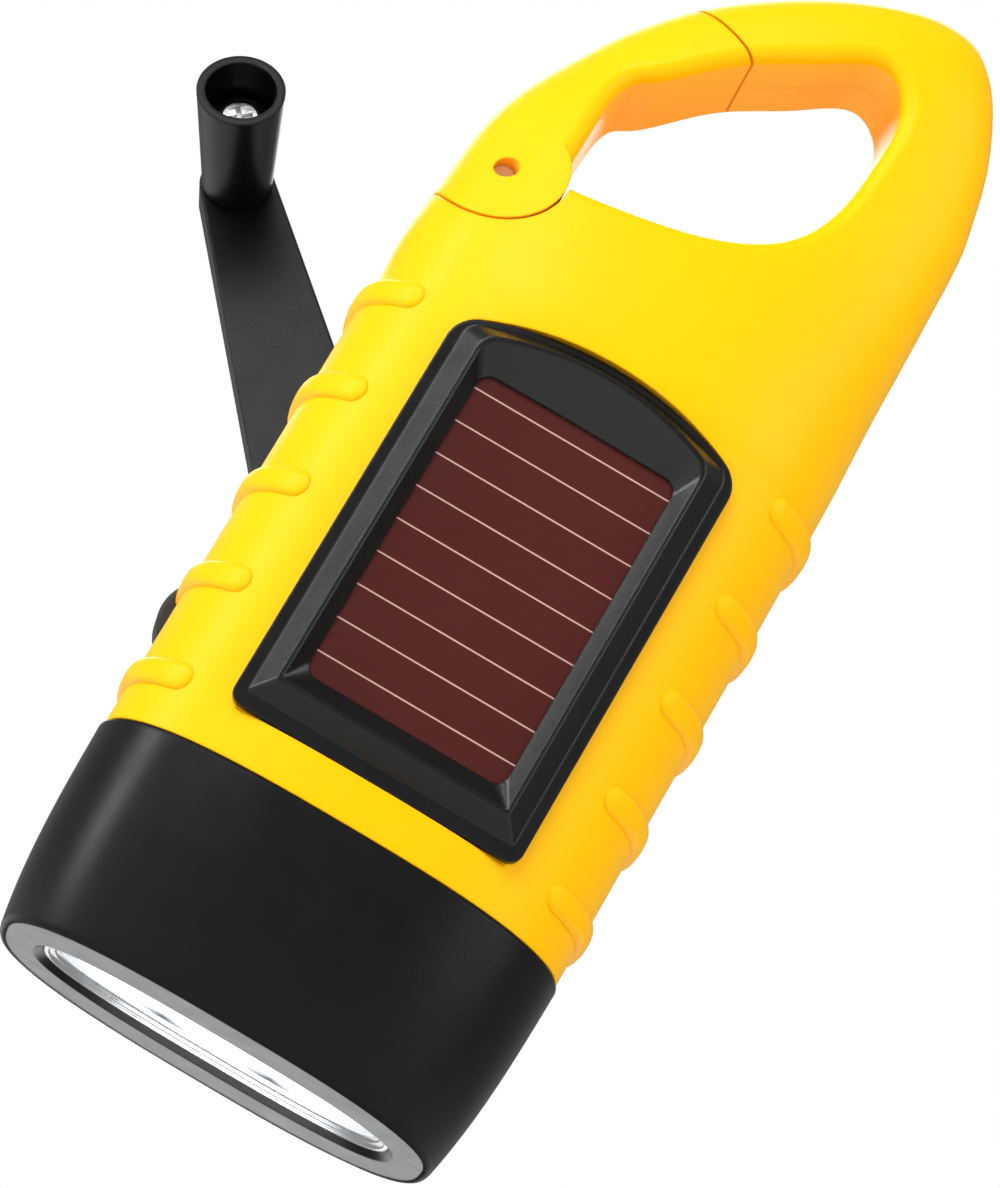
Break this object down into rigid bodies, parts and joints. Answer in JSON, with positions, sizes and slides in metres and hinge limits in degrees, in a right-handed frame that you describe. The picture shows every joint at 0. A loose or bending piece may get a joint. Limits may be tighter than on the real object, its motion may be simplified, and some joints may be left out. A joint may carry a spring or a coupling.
{
  "type": "hand crank flashlight",
  "caption": "Hand crank flashlight with an oval ribbed body, solar window, carabiner grip with a sprung gate, folding crank and round knob, and a three-lamp head.",
  "frame": {"origin": "centre of the plane of the head's rim, on which the light stands", "axes": "+Z from the rim along the body to the carabiner, -Y out of the solar side, +Y out of the crank side"},
  "size_m": [0.0857, 0.0748, 0.1387],
  "materials": {
    "yellow_plastic": "smooth moulded plastic",
    "black_plastic": "satin moulded plastic",
    "white_plastic": "natural nylon",
    "black_rubber": "matt",
    "clear_lens": "clear",
    "chrome_reflector": "bright",
    "led_epoxy": "clear epoxy",
    "circuit_board": "solder mask",
    "solar_cell": "dark red film",
    "steel": "plated",
    "cell_steel": "nickel",
    "brass": "turned",
    "copper": "enamelled wire",
    "magnet": "ferrite"
  },
  "bodies": {
    "body": {"front_shell": "yellow_plastic", "back_shell": "yellow_plastic", "head_cap": "black_plastic", "head_gasket": "black_rubber", "lens": "clear_lens", "reflector": "chrome_reflector", "led_1": "led_epoxy", "led_2": "led_epoxy", "led_3": "led_epoxy", "led_board": "circuit_board", "solar_frame": "black_plastic", "solar_panel": "solar_cell", "chassis": "white_plastic", "main_board": "circuit_board", "board_screws": "steel", "cell_cradle": "black_plastic", "cell_1": "cell_steel", "cell_2": "cell_steel", "cell_3": "cell_steel", "switch_body": "black_plastic", "shaft_bush": "brass", "idler_shaft": "steel", "generator_can": "steel", "coil": "copper", "housing_screws": "steel", "gate_pin": "steel", "gate_spring": "steel"},
    "gate": {"gate": "yellow_plastic"},
    "switch_button": {"switch_button": "black_plastic"},
    "crank": {"crank_shaft": "steel", "drive_gear": "white_plastic", "crank_hub": "black_plastic", "hinge_pin": "steel"},
    "idler": {"idler_gear": "white_plastic"},
    "rotor": {"rotor_pinion": "white_plastic", "rotor_magnet": "magnet"},
    "arm": {"crank_arm": "black_plastic", "knob_screw": "steel"},
    "knob": {"knob": "black_plastic"}
  },
  "joints": [
    {"name": "gate_hinge", "type": "hinge", "parent": "body", "child": "gate", "pos_m": [-0.0206, 0, 0.0944], "axis": [0, 1, 0], "range_deg": [0, 28], "stiffness_Nm_per_rad": 0.02, "springref_deg": -17.19},
    {"name": "switch_press", "type": "slide", "parent": "body", "child": "switch_button", "axis": [1, 0, 0], "range_m": [0, 0.0006], "stiffness_N_per_m": 800, "springref_m": -0.0005},
    {"name": "crank_spin", "type": "hinge", "parent": "body", "child": "crank", "pos_m": [0, 0.024, 0.0425], "axis": [0, 1, 0], "continuous": true},
    {"name": "idler_spin", "type": "hinge", "parent": "body", "child": "idler", "pos_m": [0, 0.008, 0.0614], "axis": [0, 1, 0], "continuous": true},
    {"name": "rotor_spin", "type": "hinge", "parent": "body", "child": "rotor", "pos_m": [0, 0.008, 0.0782], "axis": [0, 1, 0], "continuous": true},
    {"name": "crank_fold", "type": "hinge", "parent": "crank", "child": "arm", "pos_m": [0, 0.024, 0.0425], "axis": [-0.7547, 0, -0.6561], "range_deg": [-20, 160]},
    {"name": "knob_spin", "type": "hinge", "parent": "arm", "child": "knob", "pos_m": [-0.04934, 0.04924, 0.09925], "axis": [-0.2244, -0.9397, 0.2581], "continuous": true}
  ],
  "couplings": [
    {"joint": "idler_spin", "follows": "crank_spin", "ratio": -3.5},
    {"joint": "rotor_spin", "follows": "crank_spin", "ratio": 10.5}
  ]
}
